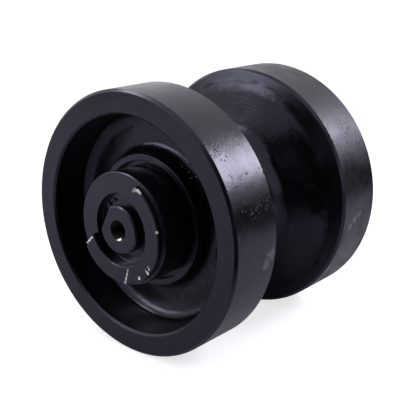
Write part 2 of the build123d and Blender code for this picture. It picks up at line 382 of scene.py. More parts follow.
def spun_outline(tree, given):
    """Grid with a row for each point of the outline and a column for each step round the axle."""
    outline, steps = given["Geometry"], given["Steps"]
    size = tree.add("GeometryNodeAttributeDomainSize", {0: outline}, component="MESH")
    count = size.outputs["Point Count"]
    rows = tree.plus(count, 1)
    grid = tree.add("GeometryNodeMeshGrid", {"Vertices X": tree.plus(steps, 1), "Vertices Y": rows})
    index = tree.add("GeometryNodeInputIndex")
    row = tree.math("MODULO", tree.math("MODULO", index, rows), count)
    column = tree.math("FLOOR", tree.over(tree.plus(index, 0.5), rows))
    turn = tree.times(tree.over(column, steps), math.tau)
    place = {"Geometry": outline, "Value": tree.add("GeometryNodeInputPosition"), "Index": row}
    place = tree.add("GeometryNodeSampleIndex", place, data_type="FLOAT_VECTOR")
    zone = {"Geometry": outline, "Value": zone_here(tree), "Index": row}
    zone = tree.add("GeometryNodeSampleIndex", zone, data_type="FLOAT")
    drawn = tree.add("ShaderNodeSeparateXYZ", {0: place}).outputs
    along = drawn[1]
    radius = threaded_radius(tree, given, drawn[0], along, turn, zone)
    across = tree.times(radius, tree.math("COSINE", turn))
    upright = tree.times(radius, tree.math("SINE", turn))
    spot = tree.add("ShaderNodeCombineXYZ", {0: across, 1: along, 2: upright})
    spun = tree.add("GeometryNodeSetPosition", {"Geometry": grid, "Position": spot})
    zoned = {"Geometry": spun, "Name": "zone", "Value": zone}
    zoned = tree.add("GeometryNodeStoreNamedAttribute", zoned, data_type="FLOAT", domain="POINT")
    return tree.add("GeometryNodeMergeByDistance", {"Geometry": zoned, "Distance": SEAM_GAP})


def threaded_radius(tree, given, radius, along, turn, zone):
    """Radius of a point: in the thread zone a right-hand ridge winds inwards from it."""
    laps = tree.plus(tree.over(along, given["Thread Pitch"]), tree.over(turn, math.tau))
    slope = tree.math("ABSOLUTE", tree.math("MULTIPLY_ADD", tree.math("FRACT", laps), 2.0, -1.0))
    flank = {"Value": slope, "From Min": THREAD_FLANK[0], "From Max": THREAD_FLANK[1]}
    ridge = tree.add("ShaderNodeMapRange", flank)
    crest = tree.minus(radius, tree.times(ridge, given["Thread Depth"]))
    from_mouth = tree.minus(given["Mouth Place"], tree.math("ABSOLUTE", along))
    chamfered = tree.math("MAXIMUM", crest, tree.minus(given["Mouth Radius"], from_mouth))
    cut = tree.math("MINIMUM", chamfered, radius)
    on_thread = tree.math("COMPARE", zone, float(THREAD), ZONE_BLUR)
    return tree.plus(radius, tree.times(tree.minus(cut, radius), on_thread))


def rough_skin(tree, given, piece, zone):
    """Lifts and sinks the forged zone in low lumps."""
    place = tree.add("GeometryNodeInputPosition")
    lumps = seeded_cloud(tree, place, given["Seed"], tree.over(1.0, given["Skin Size"]), 3.0)
    height = tree.times(tree.minus(lumps, 0.5), given["Skin Depth"])
    on_skin = tree.math("COMPARE", zone, float(FORGED), ZONE_BLUR)
    return lifted(tree, piece, tree.times(height, on_skin))


def weld_tree():
    """Lays the half-moon ripples of a welding run on a plain bead."""
    sizes = ("Bead Edge", "Ripples", "Ripple Depth", "Ripple Bow", "Ripple Waver")
    inputs = {"Int": ("Seed",), "Float": sizes, "Material": ("Finish",)}
    tree, given, result = geometry_tree("weld_run", inputs)
    place = tree.add("GeometryNodeInputPosition")
    radius, turn, along = tree.round_axle(place)
    waver = tree.times(seeded_cloud(tree, place, given["Seed"], 60.0, 2.0), given["Ripple Waver"])
    bow = tree.times(tree.times(along, along), given["Ripple Bow"])
    laps = tree.times(tree.over(turn, math.tau), given["Ripples"])
    laps = tree.plus(tree.plus(laps, bow), waver)
    wave = tree.math("ABSOLUTE", tree.math("SINE", tree.times(laps, math.pi)))
    sunk = tree.minus(tree.math("POWER", wave, 0.6), 1.0)
    on_bead = tree.math("GREATER_THAN", radius, given["Bead Edge"])
    height = tree.times(tree.times(sunk, given["Ripple Depth"]), on_bead)
    plain = tree.add("GeometryNodeRealizeInstances", {0: lifted(tree, given["Geometry"], height)})
    tree.feed(result, tree.add("GeometryNodeSetMaterial", {"Geometry": plain, "Material": given["Finish"]}))
    return tree.group


TURNING = turning_tree()
WELDING = weld_tree()


# Colours
BLACK = (0.0032, 0.0032, 0.0037)
# Painted shade: the darker black laid into the tread's pits
PIT_SHADE_BLACK = (0.001, 0.001, 0.001)
OILY_BLACK = (0.004, 0.004, 0.004)
DUSTY = (0.0085, 0.0082, 0.0098)
PALE_SCUFF = (0.11, 0.108, 0.115)
WIPED = (0.014, 0.0135, 0.016)
CHALK = (0.042, 0.041, 0.046)
# Pale grey of the painted glints on the near web
PAINTED_GLINT_GREY = (0.30, 0.30, 0.32)
BARE_STEEL = (0.95, 0.92, 0.89)
WHITE = (1, 1, 1)
VIOLET_GLOSS = (0.77, 0.76, 0.99, 1)

# The middle of a noise, where most of it lies
MIDDLE = (0.3, 0.7)


def plain_material(name, base, roughness, specular):
    """A principled material, and the sockets of its shader."""
    material = bpy.data.materials.new(name)
    material.use_nodes = True
    sockets = material.node_tree.nodes["Principled BSDF"].inputs
    sockets["Base Color"].default_value = (*base, 1)
    sockets["Roughness"].default_value = roughness
    sockets["Specular IOR Level"].default_value = specular
    return material, sockets


class Paint(Tree):
    """A finish under way: each colour, bump and roughness goes over what is there."""

    def __init__(self, name, base, roughness, specular):
        self.material, self.sockets = plain_material(name, base, roughness, specular)
        super().__init__(self.material.node_tree)
        self.place = self.add("ShaderNodeTexCoord").outputs["Object"]
        self.colour = base
        self.roughness = None
        self.surface = None

    def tint(self, share, colour):
        """Lays a colour on; a share of 1 hides what is under it."""
        self.colour = self.mixed(share, self.colour, colour)
        self.feed(self.sockets["Base Color"], self.colour)

    def roughen(self, amount):
        """Adds to the roughness, which starts from nothing."""
        self.roughness = amount if self.roughness is None else self.plus(self.roughness, amount)
        self.feed(self.sockets["Roughness"], self.roughness)

    def emboss(self, height, depth, strength):
        """Bumps the surface by a height from 0 to 1, whose 1 stands for the depth."""
        values = {"Height": height, "Distance": depth, "Strength": strength}
        if self.surface is not None:
            values["Normal"] = self.surface
        self.surface = self.add("ShaderNodeBump", values)
        self.feed(self.sockets["Normal"], self.surface)

    def span(self, value, found, given=(0.0, 1.0)):
        """Turns the range that is found into the range given, and holds it there."""
        values = {"Value": value, "From Min": found[0], "From Max": found[1]}
        values.update({"To Min": given[0], "To Max": given[1]})
        return self.add("ShaderNodeMapRange", values, interpolation_type="SMOOTHSTEP")

    def cloud(self, scale, detail=4.0, roughness=0.5, stretch=(1.0, 1.0, 1.0)):
        """Noise from 0 to 1 with about as many lumps to the metre as the scale says."""
        place = self.add("ShaderNodeMapping", {"Vector": self.place, "Scale": stretch})
        values = {"Vector": place, "Scale": scale, "Detail": detail, "Roughness": roughness}
        return self.add("ShaderNodeTexNoise", values)

    def drawn_round(self, polar, scales, detail):
        """Noise drawn out round the axle; scales are those round it and away from it."""
        radius, turn, along = polar
        across = self.times(self.math("COSINE", turn), scales[0])
        upright = self.times(self.math("SINE", turn), scales[0])
        depth = self.times(self.plus(radius, along), scales[1])
        place = self.add("ShaderNodeCombineXYZ", {0: across, 1: upright, 2: depth})
        values = {"Vector": place, "Scale": 1.0, "Detail": detail, "Roughness": 0.6}
        return self.add("ShaderNodeTexNoise", values)

    def specks(self, scale, full, gone):
        """Round specks as dense as the scale says, full near their middles and gone further out."""
        cells = self.add("ShaderNodeTexVoronoi", {"Vector": self.place, "Scale": scale})
        return self.span(cells, (full, gone), (1.0, 0.0))

    def spots(self, spots, ragged, grain, fade):
        """Mask that is 1 inside ragged spots, each given as a centre and the size of the spot."""
        wobble = self.span(self.cloud(grain, detail=3.0, roughness=0.7), MIDDLE, (-ragged, ragged))
        inside = None
        for centre, size in spots:
            away = self.add("ShaderNodeVectorMath", {0: self.place, 1: centre}, operation="DISTANCE")
            nearness = self.minus(1.0, self.over(away.outputs["Value"], size))
            inside = nearness if inside is None else self.math("MAXIMUM", inside, nearness)
        return self.span(self.plus(inside, wobble), (0.0, fade))


# Finishes

def enamel(name, roughness, specular, peel=0.3, haze=16.0):
    """Satin black enamel: cloudy gloss, fine orange peel and a trace of dust."""
    paint = Paint(name, BLACK, roughness[0], specular)
    paint.sockets["Specular Tint"].default_value = VIOLET_GLOSS
    paint.roughen(paint.span(paint.cloud(haze, detail=5.0), MIDDLE, roughness))
    paint.tint(paint.span(paint.cloud(210.0, detail=6.0, roughness=0.75), (0.56, 0.74), (0.0, 0.55)), DUSTY)
    paint.emboss(paint.cloud(620.0, detail=2.0), depth=0.06 * MM, strength=peel)
    return paint


def tread_finish():
    """Tread enamel: pits and grain under the paint, painted shade in the pits, rubbed patches, and a duller
    far rim.
    """
    paint = enamel("tread_enamel", (0.20, 0.30), specular=0.42, peel=0.2, haze=20.0)
    along = paint.add("ShaderNodeSeparateXYZ", {0: paint.place}).outputs[1]
    handled = paint.span(paint.cloud(55.0, detail=5.0, roughness=0.65), (0.35, 0.75), (0.08, 0.22))
    paint.roughen(paint.times(handled, paint.span(along, (-40 * MM, 40 * MM))))
    patches = paint.span(paint.cloud(45.0, detail=2.0), (0.50, 0.60))
    pits = paint.times(paint.specks(300.0, full=0.12, gone=0.30), patches)
    paint.emboss(pits, depth=-0.4 * MM, strength=0.8)
    coarse = paint.span(paint.cloud(26.0, detail=3.0), (0.40, 0.60))
    grain = paint.times(paint.cloud(420.0, detail=3.0, roughness=0.65), coarse)
    paint.emboss(grain, depth=0.4 * MM, strength=0.6)
    scratches = paint.cloud(60.0, detail=6.0, roughness=0.6, stretch=(1.0, 14.0, 1.0))
    paint.emboss(scratches, depth=0.04 * MM, strength=0.35)
    scuffs = paint.spots(tread_scuffs(), ragged=0.55, grain=260.0, fade=0.5)
    paint.tint(paint.times(scuffs, 0.75), PALE_SCUFF)
    # Painted shade: the pits get a darker black.
    paint.tint(paint.times(pits, 0.6), PIT_SHADE_BLACK)
    return paint.material


# Rubbed patches on the treads: degrees round the axle, place along it and size, both in millimetres
TREAD_SCUFFS = [
    (-8.0, -75, 6.0),
    (-5.0, -69, 7.0),
    (-9.5, 77, 4.6),
    (-6.6, 84, 5.0),
    (-5.0, 92, 4.2),
    (78.0, -114, 2.2),
    (79.3, -106, 2.0),
    (80.3, -98, 2.0),
]


def tread_scuffs():
    """Centre and size of each rubbed patch."""
    spots = []
    for degrees, along, size in TREAD_SCUFFS:
        turn = math.radians(degrees)
        centre = Vector((TREAD_RAD * math.cos(turn), along * MM, TREAD_RAD * math.sin(turn)))
        spots.append((centre, size * MM))
    return spots


# Rings to the metre that the lathe leaves
LATHE_RINGS = 900.0


def turned_finish(name, specular):
    """Turned faces: satin enamel over very fine lathe rings."""
    paint = enamel(name, (0.22, 0.32), specular)
    away = paint.times(paint.from_axle(paint.place), LATHE_RINGS)
    place = paint.add("ShaderNodeCombineXYZ", {0: away})
    rings = paint.add("ShaderNodeTexNoise", {"Vector": place, "Scale": 1.0, "Detail": 2.0})
    paint.emboss(rings, depth=0.02 * MM, strength=0.5)
    return paint.material


# Where the near web is brushed: the way to it from the middle of the roller
BRUSHED_WAY = (0.60, -0.50, -0.62)

# Pale dots painted on the near web, high on the right: painted glints
GLINT_SPOTS = [(Vector((x * MM, -80 * MM, z * MM)), 7.0 * MM) for x, z in ((36, 63), (43, 58), (51, 51))]


def forged_finish():
    """Forged web and flare: scale under the paint, rings left by the die, brush strokes, dust and painted
    glints.
    """
    paint = enamel("forged_enamel", (0.16, 0.30), specular=0.38, peel=0.5, haze=26.0)
    polar = paint.round_axle(paint.place)
    paint.emboss(paint.cloud(120.0, detail=6.0, roughness=0.62), depth=0.6 * MM, strength=0.5)
    paint.emboss(paint.drawn_round(polar, (2.2, 150.0), detail=4.0), depth=0.9 * MM, strength=0.32)
    strokes = paint.drawn_round(polar, (26.0, 60.0), detail=6.0)
    brushed = brushed_quarter(paint, polar[0])
    paint.emboss(paint.times(strokes, brushed), depth=1.6 * MM, strength=0.5)
    wiped = paint.span(paint.drawn_round(polar, (7.0, 60.0), detail=6.0), (0.50, 0.72), (0.0, 0.7))
    paint.tint(wiped, WIPED)
    paint.tint(paint.times(paint.span(strokes, (0.50, 0.64)), brushed), CHALK)
    # Painted glints: pale dots high on the near web.
    dots = paint.specks(330.0, full=0.16, gone=0.30)
    painted_glints = paint.times(dots, paint.spots(GLINT_SPOTS, ragged=0.5, grain=300.0, fade=0.4))
    paint.tint(painted_glints, PAINTED_GLINT_GREY)
    return paint.material


def brushed_quarter(paint, radius):
    """Mask of the part of the near web that shows brush strokes."""
    beyond_hub = paint.span(radius, (68 * MM, 76 * MM))
    inside_dish = paint.span(radius, (98 * MM, 84 * MM))
    reach = paint.add("ShaderNodeVectorMath", {0: paint.place, 1: BRUSHED_WAY}, operation="DOT_PRODUCT")
    quarter = paint.span(reach.outputs["Value"], (82 * MM, 98 * MM))
    return paint.times(paint.times(beyond_hub, inside_dish), quarter)


def bare_metal(name, base, roughness):
    """Bare or plated metal with fine scratches and stains."""
    paint = Paint(name, base, roughness, specular=0.5)
    paint.sockets["Metallic"].default_value = 1.0
    grain = paint.cloud(900.0, roughness=0.7)
    paint.roughen(paint.span(grain, MIDDLE, (roughness, roughness + 0.2)))
    paint.emboss(grain, depth=0.05 * MM, strength=0.6)
    stained = tuple(0.55 * part for part in base)
    paint.tint(paint.span(paint.cloud(300.0), (0.45, 0.7), (0.0, 0.8)), stained)
    return paint.material


def thread_finish():
    """Tapped hole: painted and oily, with bare threads low at its mouth."""
    paint = Paint("thread_paint", OILY_BLACK, 0.35, specular=0.15)
    mouth = AXLE_END - 1.5 * MM
    rubbed = [(Vector((1.5 * MM, side * mouth, -10 * MM)), 3.0 * MM) for side in (-1, 1)]
    bare = paint.spots(rubbed, ragged=0.5, grain=400.0, fade=0.12)
    paint.feed(paint.sockets["Metallic"], bare)
    paint.tint(bare, BARE_STEEL)
    paint.roughen(paint.span(paint.cloud(500.0), MIDDLE, (0.28, 0.45)))
    return paint.material


def rubber_finish():
    """Matt seal rubber with a fine bloom."""
    paint = Paint("seal_rubber", (0.012, 0.012, 0.012), 0.7, specular=0.3)
    paint.emboss(paint.cloud(800.0), depth=0.03 * MM, strength=0.5)
    paint.roughen(paint.span(paint.cloud(90.0), MIDDLE, (0.6, 0.8)))
    return paint.material


# Turned pieces

def turned_piece(name, corners, finishes, steps, spacing=3 * MM, skin=0.0, seed=1, near=False):
    """Piece of revolution, with a finish for each zone."""
    piece = outline_object(name, corners, spacing, near)
    values = {
        "Steps": steps,
        "Seed": seed,
        "Skin Depth": skin,
        "Skin Size": SKIN_LUMP,
        "Sharp Angle": TURNED_SHARP_ANGLE,
        "Thread Pitch": THREAD_PITCH,
        "Thread Depth": THREAD_MAJOR_RAD - THREAD_MINOR_RAD,
        "Mouth Radius": TAP_MOUTH_RAD,
        "Mouth Place": AXLE_END,
    }
    values.update(zip(ZONE_FINISHES, finishes))
    run_tree(piece, TURNING, values)
    return piece


def shell_corners():
    """Outline of the far shell half, with every edge softened as paint leaves it."""
    rim_in = HALF_WIDTH - RIM_WIDTH
    knee_rad = TREAD_RAD - KNEE_HEIGHT
    knee_y = rim_in - KNEE_DRAFT
    flare_foot = knee_y - (knee_rad - NECK_RAD) * math.tan(FLARE_ANGLE)
    mouth_rad = TREAD_RAD - RIM_WALL
    dish_rad = mouth_rad - DISH_DRAFT
    dish_y = HALF_WIDTH - DISH_DEPTH
    web_y = dish_y - WEB_EDGE_DEPTH
    soft = 0.5 * MM
    return [
        (NECK_RAD - WELD_DEPTH, 0, 0, TURNED),
        (CAVITY_RAD, 0, 0, TURNED),
        (CAVITY_RAD, BUSH_SEAT, 0, TURNED),
        (BUSH_SEAT_RAD, BUSH_SEAT, 0, TURNED),
        (BUSH_SEAT_RAD, POCKET_FLOOR, 0, TURNED),
        (POCKET_TAIL_RAD, POCKET_FLOOR, 0, TURNED),
        (POCKET_MOUTH_RAD, POCKET_FLOOR + SEAL_CONE, 0, TURNED),
        (POCKET_MOUTH_RAD, POCKET_MOUTH, soft, TURNED),
        (HUB_MOUTH_RAD, POCKET_MOUTH, soft, TURNED),
        (HUB_MOUTH_RAD, HUB_FACE, soft, TURNED),
        (HUB_RAD, HUB_FACE, soft, TURNED),
        (HUB_RAD + HUB_DRAFT, web_y - WEB_SLOPE, HUB_ROOT_RADIUS, FORGED),
        (dish_rad - WEB_EDGE_WIDTH, web_y, WEB_EDGE_RADIUS, FORGED),
        (dish_rad, dish_y, DISH_ROOT_RADIUS, TURNED),
        (mouth_rad, HALF_WIDTH - MOUTH_BREAK, soft, TURNED),
        (mouth_rad + MOUTH_BREAK, HALF_WIDTH, soft, TURNED),
        (TREAD_RAD - EDGE_BREAK, HALF_WIDTH, soft, TURNED),
        (TREAD_RAD, HALF_WIDTH - EDGE_BREAK, soft, TREAD),
        (TREAD_RAD, rim_in + EDGE_BREAK, soft, TURNED),
        (TREAD_RAD - EDGE_BREAK, rim_in - EDGE_BREAK_DROP, soft, TURNED),
        (knee_rad, knee_y, KNEE_RADIUS, FORGED),
        (NECK_RAD, flare_foot, NECK_RADIUS, FORGED),
        (NECK_RAD, WELD_HALF, 0, FORGED),
    ]


def shells(tread, turned, forged):
    finishes = (tread, turned, forged, turned)
    for end, seed in (("far", 3), ("near", 8)):
        name = f"{end}_shell_skin"
        near = end == "near"
        piece = turned_piece(name, shell_corners(), finishes, 288, skin=SKIN_DEPTH, seed=seed, near=near)
        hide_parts(f"{end}_shell_half")
        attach(piece, "roller")


def weld(finish):
    """Bead that fills the groove at the waist, with the ripples of the welding run."""
    crown = WELD_CROWN_RAD - NECK_RAD
    corners = [(NECK_RAD - WELD_DEPTH, 0, 0, TURNED)]
    for k in range(-WELD_ROUND_POINTS, WELD_ROUND_POINTS + 1):
        share = k / WELD_ROUND_POINTS
        corners.append((NECK_RAD + crown * (1 - share * share), share * WELD_HALF, 0, TURNED))
    piece = turned_piece("waist_weld_bead", corners, (finish,) * 4, 720, spacing=2 * MM)
    values = {
        "Seed": 5,
        "Bead Edge": NECK_RAD + BEAD_LIFT,
        "Ripples": RIPPLES,
        "Ripple Depth": RIPPLE_DEPTH,
        "Ripple Bow": RIPPLE_BOW,
        "Ripple Waver": RIPPLE_WAVER,
        "Finish": finish,
    }
    run_tree(piece, WELDING, values)
    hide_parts("waist_weld")
    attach(piece, "roller")


# Cutting and filling

def extruded(name, outline, low, high, place, finish):
    """Closed prism of a flat outline; place turns a corner of it and a height into a point."""
    count = len(outline)
    points = [place(*corner, height) for height in (low, high) for corner in outline]
    faces = [tuple(range(count)), tuple(range(count, 2 * count))]
    for k in range(count):
        after = (k + 1) % count
        faces.append((k, after, count + after, count + k))
    mesh = bpy.data.meshes.new(name)
    mesh.from_pydata(points, [], faces)
    face_outwards(mesh)
    mesh.materials.append(finish)
    return linked(name, mesh)


def combine(piece, tool, operation, crossing=False):
    """Adds or takes away a closed tool, whose own finish stays on the faces that it makes."""
    modifier = piece.modifiers.new("Combine", "BOOLEAN")
    modifier.operation = operation
    modifier.object = tool
    modifier.solver = "EXACT"
    modifier.use_self = crossing
    modifier.material_mode = "TRANSFER"
    keep_result(piece)
    bpy.data.objects.remove(tool)


def across_chord(angle, side):
    """Turns (out along the angle, along the chord, height along the axle) into a point."""
    def place(out, along, height):
        x = out * math.cos(angle) - along * math.sin(angle)
        z = out * math.sin(angle) + along * math.cos(angle)
        return (x, side * height, z)
    return place


# Collars

def collar_corners():
    """Outline of the far collar with the raised ring still whole."""
    cut = COLLAR_BREAK
    soft = 0.4 * MM
    fine = 0.3 * MM
    return [
        (EYE_RAD, AXLE_SHOULDER, 0, TURNED),
        (COLLAR_BORE_RAD, AXLE_SHOULDER, 0, TURNED),
        (COLLAR_BORE_RAD, COLLAR_POCKET_FLOOR, 0, TURNED),
        (POCKET_TAIL_RAD, COLLAR_POCKET_FLOOR, 0, TURNED),
        (POCKET_MOUTH_RAD, COLLAR_POCKET_FLOOR - SEAL_CONE, 0, TURNED),
        (POCKET_MOUTH_RAD, COLLAR_FOOT, soft, TURNED),
        (SKIRT_RAD, COLLAR_FOOT, soft, TURNED),
        (SKIRT_RAD, SEAT_START, 0, TURNED),
        (COLLAR_RAD, SEAT_START, 0.2 * MM, TURNED),
        (COLLAR_RAD, COLLAR_LOW_FACE - cut, fine, TURNED),
        (COLLAR_RAD - cut, COLLAR_LOW_FACE, fine, TURNED),
        (STEP_RAD, COLLAR_LOW_FACE, 0.5 * MM, TURNED),
        (STEP_RAD, COLLAR_TOP - cut, fine, TURNED),
        (STEP_RAD - cut, COLLAR_TOP, fine, TURNED),
        (COUNTERBORE_RAD + cut, COLLAR_TOP, fine, TURNED),
        (COUNTERBORE_RAD, COLLAR_TOP - cut, fine, TURNED),
        (COUNTERBORE_RAD, COLLAR_FLOOR, 0.6 * MM, TURNED),
        (EYE_RAD, COLLAR_FLOOR, fine, TURNED),
    ]


def step_cutter(side, finish):
    """Cuts the raised ring off beyond the chord, with a broken top edge and a filled foot."""
    low, high, out = COLLAR_LOW_FACE, COLLAR_TOP, STEP_DISTANCE
    past, reach = 0.6 * MM, 70 * MM
    profile = [
        (out + STEP_FOOT, low),
        (out + 0.15 * MM, low + 0.18 * MM),
        (out, low + STEP_FOOT),
        (out, high - STEP_EDGE),
        (out - 1.15 * MM, high + past),
        (reach, high + past),
        (reach, low),
    ]
    turned_place = across_chord(STEP_ANGLE, side)

    def place(outward, height, along):
        return turned_place(outward, along, height)
    return extruded("step_cutter", profile, -reach, reach, place, finish)


def eye_filling(side, finish):
    """Segment in the round eye of the collar that meets the flat of the axle end."""
    rad = EYE_RAD + EYE_BITE
    half = math.acos((FLAT_DISTANCE + FLAT_GAP) / rad)
    steps = 24
    outline = []
    for k in range(steps + 1):
        turn = -half + 2 * half * k / steps
        outline.append((rad * math.cos(turn), rad * math.sin(turn)))
    place = across_chord(FLAT_ANGLE, side)
    inset = 0.02 * MM
    return extruded("eye_filling", outline, AXLE_SHOULDER + inset, COLLAR_FLOOR - inset, place, finish)


# Knocks on the raised half-moons: x, z, length, width in millimetres, turn in degrees, depth
NEAR_KNOCKS = [
    (-38.4, -16.0, 4.6, 2.2, 45, 1.4),
    (-41.6, -19.0, 5.0, 2.8, 45, 1.9),
    (-44.8, -22.4, 5.0, 3.2, 50, 2.4),
    (-47.2, -25.8, 5.2, 4.0, 70, 3.2),
    (-46.4, -29.0, 5.6, 3.6, 118, 2.8),
    (-44.4, -32.2, 4.4, 2.6, 122, 2.2),
    (22.9, 44.3, 3.6, 3.0, 20, 1.8),
    (25.6, 45.9, 4.2, 3.4, -10, 2.4),
    (28.6, 45.6, 4.2, 3.2, -25, 2.4),
    (31.0, 43.9, 3.4, 2.4, -40, 2.2),
    (51.8, 9.6, 3.4, 3.0, 80, 2.4),
    (12.4, -38.4, 4.4, 1.1, 70, 0.7),
    (11.2, -42.6, 5.4, 1.7, 72, 1.0),
    (9.8, -47.2, 5.6, 2.2, 73, 1.3),
    (8.4, -51.8, 4.8, 3.0, 73, 2.2),
    (27.4, -42.2, 3.8, 3.4, 20, 1.4),
    (38.4, -33.4, 5.8, 2.4, -45, 1.2),
    (40.6, -28.6, 5.6, 1.5, -45, 1.0),
]
FAR_KNOCKS = [
    (31.0, -41.5, 2.4, 1.0, 40, 0.7),
    (-12.0, -51.5, 2.8, 1.1, 10, 0.7),
    (46.0, 24.0, 2.0, 1.2, 70, 0.7),
]


CHIP_RAGGEDNESS = 0.45
CHIP_GRAIN = 2.3
NOISE_SPREAD = 9


def knocks(marks, side, finish, seed):
    """Ragged lumps that take the chips out of the edge of the collar and bare its steel."""
    shape = bmesh.new()
    chance = random.Random(seed)
    for x, z, length, width, turn, depth in marks:
        lump = bmesh.ops.create_icosphere(shape, subdivisions=3, radius=1.0)["verts"]
        shift = Vector([chance.uniform(-NOISE_SPREAD, NOISE_SPREAD) for _ in range(3)])
        spin = Matrix.Rotation(math.radians(-turn), 3, "Y")
        centre = Vector((x * MM, side * COLLAR_TOP, z * MM))
        for vertex in lump:
            ragged = 1 + CHIP_RAGGEDNESS * noise.noise(vertex.co * CHIP_GRAIN + shift)
            local = vertex.co * ragged * MM
            local = Vector((local.x * length / 2, local.y * depth, local.z * width / 2))
            vertex.co = spin @ local + centre
    mesh = bpy.data.meshes.new("knocks")
    shape.to_mesh(mesh)
    shape.free()
    mesh.materials.append(finish)
    return linked("knocks", mesh)


def collars(painted, bare):
    for end, side, marks, seed in (("far", 1, FAR_KNOCKS, 5), ("near", -1, NEAR_KNOCKS, 3)):
        piece = turned_piece(f"{end}_collar_skin", collar_corners(), (painted,) * 4, 240, near=side < 0)
        combine(piece, step_cutter(side, painted), "DIFFERENCE")
        combine(piece, eye_filling(side, painted), "UNION")
        combine(piece, knocks(marks, side, bare, seed), "DIFFERENCE", crossing=True)
        piece.data.set_sharp_from_angle(angle=CUT_SHARP_ANGLE)
        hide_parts(f"{end}_collar")
        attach(piece, "axle")


# Axle

def axle_end_corners():
    """Outline of the far end of the axle, from the bottom of its tapped hole to the flange."""
    soft = 0.25 * MM
    thread_start = AXLE_END - THREAD_LENGTH
    mouth = AXLE_END - (TAP_MOUTH_RAD - THREAD_MAJOR_RAD)
    groove_top = COLLAR_FLOOR + CLIP_GROOVE_WIDTH
    return [
        (THREAD_MINOR_RAD, AXLE_END - TAP_DEPTH, 0, FORGED),
        (THREAD_MINOR_RAD, thread_start - THREAD_RUNOUT, 0, FORGED),
        (THREAD_MAJOR_RAD, thread_start, 0, THREAD),
        (THREAD_MAJOR_RAD, mouth, 0, THREAD),
        (TAP_MOUTH_RAD, AXLE_END, 0, TURNED),
        (AXLE_END_RAD - AXLE_CHAMFER, AXLE_END, soft, TURNED),
        (AXLE_END_RAD, AXLE_END - AXLE_CHAMFER, soft, TURNED),
        (AXLE_END_RAD, groove_top, 0, TURNED),
        (CLIP_GROOVE_RAD, groove_top, 0, TURNED),
        (CLIP_GROOVE_RAD, COLLAR_FLOOR, 0, TURNED),
        (AXLE_END_RAD, COLLAR_FLOOR, 0, TURNED),
        (AXLE_END_RAD, AXLE_SHOULDER, 0, TURNED),
        (JOURNAL_RAD, AXLE_SHOULDER, 0.5 * MM, TURNED),
        (JOURNAL_RAD, CORD_GROOVE_HIGH, 0, TREAD),
        (CORD_GROOVE_RAD, CORD_GROOVE_HIGH, 0, TREAD),
        (CORD_GROOVE_RAD, CORD_GROOVE_LOW, 0, TREAD),
        (JOURNAL_RAD, CORD_GROOVE_LOW, 0, TREAD),
        (JOURNAL_RAD, THRUST_HALF, 0, TREAD),
        (THRUST_RAD, THRUST_HALF, 1.0 * MM, TREAD),
    ]


def axle_corners():
    """Outline of the whole axle: the oil gallery, the far end, and the near end with a drill point."""
    bottom = AXLE_END - TAP_DEPTH
    point = bottom - THREAD_MINOR_RAD * DRILL_SLOPE
    gallery = bottom - (THREAD_MINOR_RAD - GALLERY_RAD) * DRILL_SLOPE
    oil_way = [(0, 0, 0, FORGED), (GALLERY_RAD, 0, 0, FORGED), (GALLERY_RAD, gallery, 0, FORGED)]
    far_end = axle_end_corners()
    near_end = [(radius, -y, rounding, zone) for radius, y, rounding, zone in reversed(far_end)]
    return oil_way + far_end + near_end + [(0, -point, 0, FORGED)]


def axle_piece(ground, painted, threaded):
    """Axle with a tapped hole in both ends, a flat on each, and a flange between the bushes."""
    finishes = (ground, painted, threaded, threaded)
    piece = turned_piece("axle_shaft", axle_corners(), finishes, 180, spacing=6 * MM)
    reach = 40 * MM
    outline = [(FLAT_DISTANCE, -reach), (reach, -reach), (reach, reach), (FLAT_DISTANCE, reach)]
    for side in (1, -1):
        place = across_chord(FLAT_ANGLE, side)
        tool = extruded("flat_cutter", outline, AXLE_SHOULDER, AXLE_END + 2 * MM, place, painted)
        combine(piece, tool, "DIFFERENCE")
    piece.data.set_sharp_from_angle(angle=CUT_SHARP_ANGLE)
    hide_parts("axle")
    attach(piece, "axle")


# Small pieces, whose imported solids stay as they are

def small_pieces(finishes):
    """Gives each solid the finish whose word is in its name, and the clips soft edges."""
    for name, node in frame["nodes"].items():
        for word, finish in finishes.items():
            if word in name:
                for slot in node.material_slots:
                    slot.material = finish
    for end in ("near", "far"):
        edges = frame["nodes"][f"{end}_retaining_ring"].modifiers.new("Edges", "BEVEL")
        edges.width = 0.3 * MM
        edges.segments = 2
        edges.limit_method = "ANGLE"


# Camera: pixels and focal length are those of the photograph, 416 pixels wide

PHOTO_SIDE = 416
PHOTO_FOCAL = 815.8
SENSOR_WIDTH = 36
NEAR_FACE_PIXEL = (128.34, 226.94)
NEAR_FACE_AWAY = 800.01 * MM
CAMERA_AZIMUTH = math.radians(40.10)
CAMERA_ELEVATION = math.radians(17.52)


def camera():
    """Camera at the photograph's place: to the right of the near end, a little above."""
    lens = bpy.data.cameras.new("camera")
    lens.sensor_width = SENSOR_WIDTH
    lens.lens = PHOTO_FOCAL / PHOTO_SIDE * SENSOR_WIDTH
    lens.clip_start = 0.01
    lens.clip_end = 50
    a, e = CAMERA_AZIMUTH, CAMERA_ELEVATION
    ahead = Vector((-math.sin(a) * math.cos(e), math.cos(a) * math.cos(e), -math.sin(e)))
    right = Vector((math.cos(a), math.sin(a), 0))
    down = ahead.cross(right)
    per_pixel = NEAR_FACE_AWAY / PHOTO_FOCAL
    across = (NEAR_FACE_PIXEL[0] - PHOTO_SIDE / 2) * per_pixel
    below = (NEAR_FACE_PIXEL[1] - PHOTO_SIDE / 2) * per_pixel
    near_face = Vector((0, -HALF_WIDTH, 0))
    made = linked("camera", lens)
    made.location = near_face - ahead * NEAR_FACE_AWAY - right * across - down * below
    made.rotation_euler = ahead.to_track_quat("-Z", "Y").to_euler()
    bpy.context.scene.camera = made
